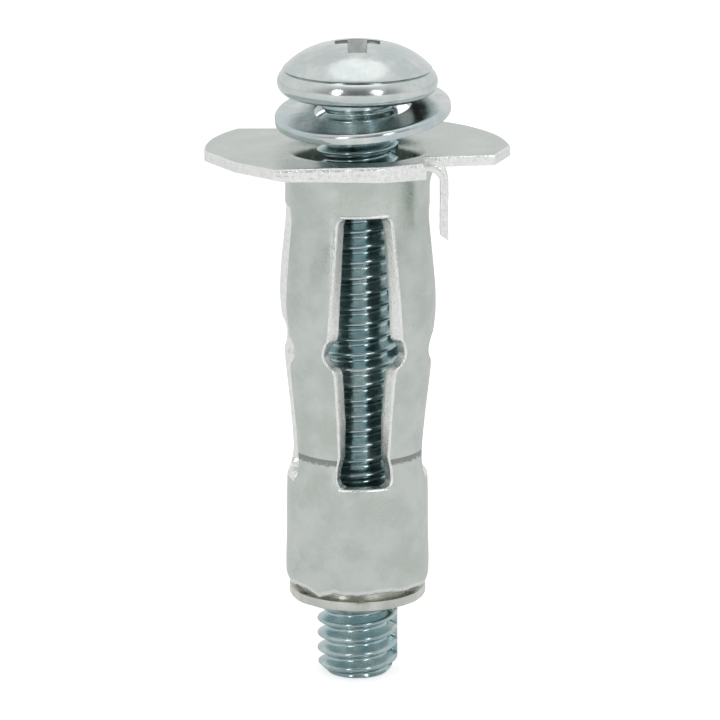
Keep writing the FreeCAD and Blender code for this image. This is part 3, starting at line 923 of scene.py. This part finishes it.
def rust_share(shader):
    """A small rust spot where the zinc was sheared off the left wing's edge."""
    spot = (-0.87 * FLANGE_RADIUS, -0.14 * FLANGE_RADIUS, 0.2 * PLATE_TOP)
    away = shader.node(
        "ShaderNodeVectorMath", {0: shader.place((1.0, 1.0, 1.4)), 1: spot},
        operation="DISTANCE", output=1,
    )
    torn = shader.noise(4.0, 5.0, 0.6)
    return shader.ramp(shader.math("ADD", away, shader.math("MULTIPLY", torn, 1.2)), 1.15, 0.75)


PLATED_BUMP = 0.25


def plated(name, pale, dull, blue, rough_low, rough_high):
    """Bright zinc with a bluish passivation that comes and goes."""
    shader = Shader(name)
    clouds = shader.noise(0.8, 5.0, 0.6)
    tint = shader.noise(0.45, 3.0, 0.5)
    fine = shader.noise(7.0, 6.0, 0.65)
    base = shader.mix(shader.ramp(clouds, 0.35, 0.65), dull, pale)
    base = shader.mix(shader.ramp(tint, 0.45, 0.62, 0.0, 0.7), base, blue)
    base = shader.mix(shader.ramp(fine, 0.62, 0.78, 0.0, 0.4), base, ZINC_DARK)
    shader.link(base, "Base Color")
    rough = shader.ramp(clouds, 0.3, 0.7, rough_low, rough_high)
    shader.link(rough, "Roughness")
    normal = shader.bump(fine, PLATED_BUMP, 0.01 * MM)
    normal = shader.bump(clouds, PLATED_BUMP, 0.05 * MM, normal)
    shader.link(normal, "Normal")
    shader.set(Metallic=1.0)
    return shader.material



# ---- build ------------------------------------------------------------------------------------

UPPER_SPLIT = -6.0
LOWER_SPLIT = -12.5

sleeve = zinc_sleeve()
nut_metal = plated(
    "nut_zinc", (0.74, 0.76, 0.70), (0.55, 0.57, 0.51), (0.6, 0.62, 0.58), 0.22, 0.42,
)
washer_metal = plated(
    "washer_zinc", (0.78, 0.81, 0.80), (0.60, 0.65, 0.65), (0.50, 0.60, 0.63), 0.14, 0.28,
)
head_metal = plated(
    "head_zinc", (0.74, 0.78, 0.77), (0.6, 0.65, 0.64), (0.58, 0.66, 0.66), 0.1, 0.2,
)
thread_metal = plated(
    "thread_zinc", (0.58, 0.68, 0.68), (0.38, 0.50, 0.52), (0.40, 0.54, 0.57), 0.16, 0.3,
)


def dress(obj, material):
    """Gives the piece its material and its colour slot."""
    obj.data.materials.append(material)
    return obj


def blended(obj):
    """Bakes the piece's place into its mesh."""
    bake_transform(obj)
    return obj


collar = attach(dress(collar_piece(), sleeve), "collar")
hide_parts("collar")
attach(dress(prong_piece(), sleeve), "collar")

for leg in LEGS:
    upper = leg_piece(f"leg_{leg}_top", leg, SLOT_TOP, UPPER_SPLIT)
    knee = leg_piece(f"leg_{leg}_knee", leg, UPPER_SPLIT, LOWER_SPLIT)
    shin = leg_piece(f"leg_{leg}_shin", leg, LOWER_SPLIT, FOOT_Z)
    for piece in (upper, knee, shin):
        dress(piece, sleeve)
    blended(upper)
    blended(knee)
    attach(shin, f"lower_leg_{leg}")
    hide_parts(f"upper_leg_{leg}")
    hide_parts(f"lower_leg_{leg}")
    stub = leg_piece(f"cage_stub_{leg}", leg, FOOT_Z, SLOT_FOOT, STUB_SPACING)
    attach(dress(stub, sleeve), "nut_cage")

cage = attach(dress(cage_tube(), sleeve), "nut_cage")
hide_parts("nut_cage")
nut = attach(dress(nut_piece(), nut_metal), "nut_cage")
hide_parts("nut")
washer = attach(dress(washer_piece(), washer_metal), "washer")
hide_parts("washer")
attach(dress(head_piece(), head_metal), "screw")
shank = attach(dress(shank_piece(), thread_metal), "screw")
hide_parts("screw")

# ---- floor, light and camera ------------------------------------------------------------------


FLOOR_HALF_SIDE = 1.2
FLOOR_GAP = 0.01


def floor_piece():
    """A white floor under the screw's tip, lit a little so that it fades into the backdrop."""
    work = bmesh.new()
    bmesh.ops.create_grid(work, x_segments=8, y_segments=8, size=FLOOR_HALF_SIDE)
    mesh = bpy.data.meshes.new("floor")
    work.to_mesh(mesh)
    work.free()
    floor = bpy.data.objects.new("floor", mesh)
    floor.location.z = (TIP_Z - FLOOR_GAP) * MM
    bpy.context.scene.collection.objects.link(floor)
    shader = Shader("floor_white")
    shader.set(Roughness=0.9)
    shader.surface.inputs["Base Color"].default_value = (0.82, 0.82, 0.82, 1)
    seen = shader.node("ShaderNodeLightPath", output=0)
    glossy = shader.node("ShaderNodeLightPath", output=3)
    through = shader.node("ShaderNodeLightPath", output=6)
    lit = shader.math("MAXIMUM", seen, shader.math("MAXIMUM", glossy, through))
    shader.surface.inputs["Emission Color"].default_value = (1, 1, 1, 1)
    backing = shader.math("MULTIPLY", seen, 0.45)
    shader.link(shader.math("ADD", backing, shader.math("MULTIPLY", lit, 0.1)), "Emission Strength")
    mesh.materials.append(shader.material)


def world_light():
    """White to the camera and in reflections, darker towards the front where the camera stands."""
    world = bpy.data.worlds.new("studio")
    world.use_nodes = True
    bpy.context.scene.world = world
    tree = world.node_tree
    tree.nodes.clear()

    def node(kind, **settings):
        made = tree.nodes.new(kind)
        for key, setting in settings.items():
            setattr(made, key, setting)
        return made

    place = node("ShaderNodeTexCoord")
    split = node("ShaderNodeSeparateXYZ")
    tree.links.new(place.outputs["Generated"], split.inputs[0])
    front = node("ShaderNodeMapRange", interpolation_type="SMOOTHSTEP")
    for key, setting in (("From Min", -1.0), ("From Max", -0.1), ("To Min", 0.2), ("To Max", 0.8)):
        front.inputs[key].default_value = setting
    tree.links.new(split.outputs["Y"], front.inputs["Value"])
    path = node("ShaderNodeLightPath")
    strength = node("ShaderNodeMix")
    strength.inputs[3].default_value = 1.0
    tree.links.new(path.outputs["Is Camera Ray"], strength.inputs[0])
    tree.links.new(front.outputs[0], strength.inputs[2])
    background = node("ShaderNodeBackground")
    background.inputs["Color"].default_value = (1, 1, 1, 1)
    tree.links.new(strength.outputs[0], background.inputs["Strength"])
    output = node("ShaderNodeOutputWorld")
    tree.links.new(background.outputs[0], output.inputs[0])


SIDE_BOX_SPOT = (0.15, -0.26, 0.11)
SIDE_BOX_SIZE = (0.05, 0.24)
SIDE_BOX_POWER = 0.15


def soft_box(name, place, width, height, power):
    """An oval area light aimed at the middle of the anchor."""
    data = bpy.data.lights.new(name, "AREA")
    data.shape = "ELLIPSE"
    data.size = width
    data.size_y = height
    data.energy = power
    lamp = bpy.data.objects.new(name, data)
    lamp.location = place
    aim = TARGET - Vector(place)
    lamp.rotation_euler = aim.to_track_quat("-Z", "Y").to_euler()
    bpy.context.scene.collection.objects.link(lamp)


CAMERA_DISTANCE = 0.230
CAMERA_ELEVATION = math.radians(15)
CAMERA_LENS = 227.0
TARGET = Vector((0.13, 0.0, -10.5)) * MM


def camera():
    data = bpy.data.cameras.new("camera")
    data.lens = CAMERA_LENS
    data.sensor_width = 36.0
    data.clip_start = 0.01
    data.clip_end = 10.0
    obj = bpy.data.objects.new("camera", data)
    back = Vector((0, -math.cos(CAMERA_ELEVATION), math.sin(CAMERA_ELEVATION)))
    obj.location = TARGET + back * CAMERA_DISTANCE
    obj.rotation_euler = (-back).to_track_quat("-Z", "Y").to_euler()
    bpy.context.scene.collection.objects.link(obj)
    bpy.context.scene.camera = obj


floor_piece()
world_light()
for side, sign in (("left", -1), ("right", 1)):
    x, y, z = SIDE_BOX_SPOT
    soft_box(f"{side}_box", (sign * x, y, z), *SIDE_BOX_SIZE, SIDE_BOX_POWER)
soft_box("top_box", (0.0, 0.05, 0.35), 0.3, 0.3, 0.08)
camera()
bpy.context.scene.view_settings.view_transform = "Standard"
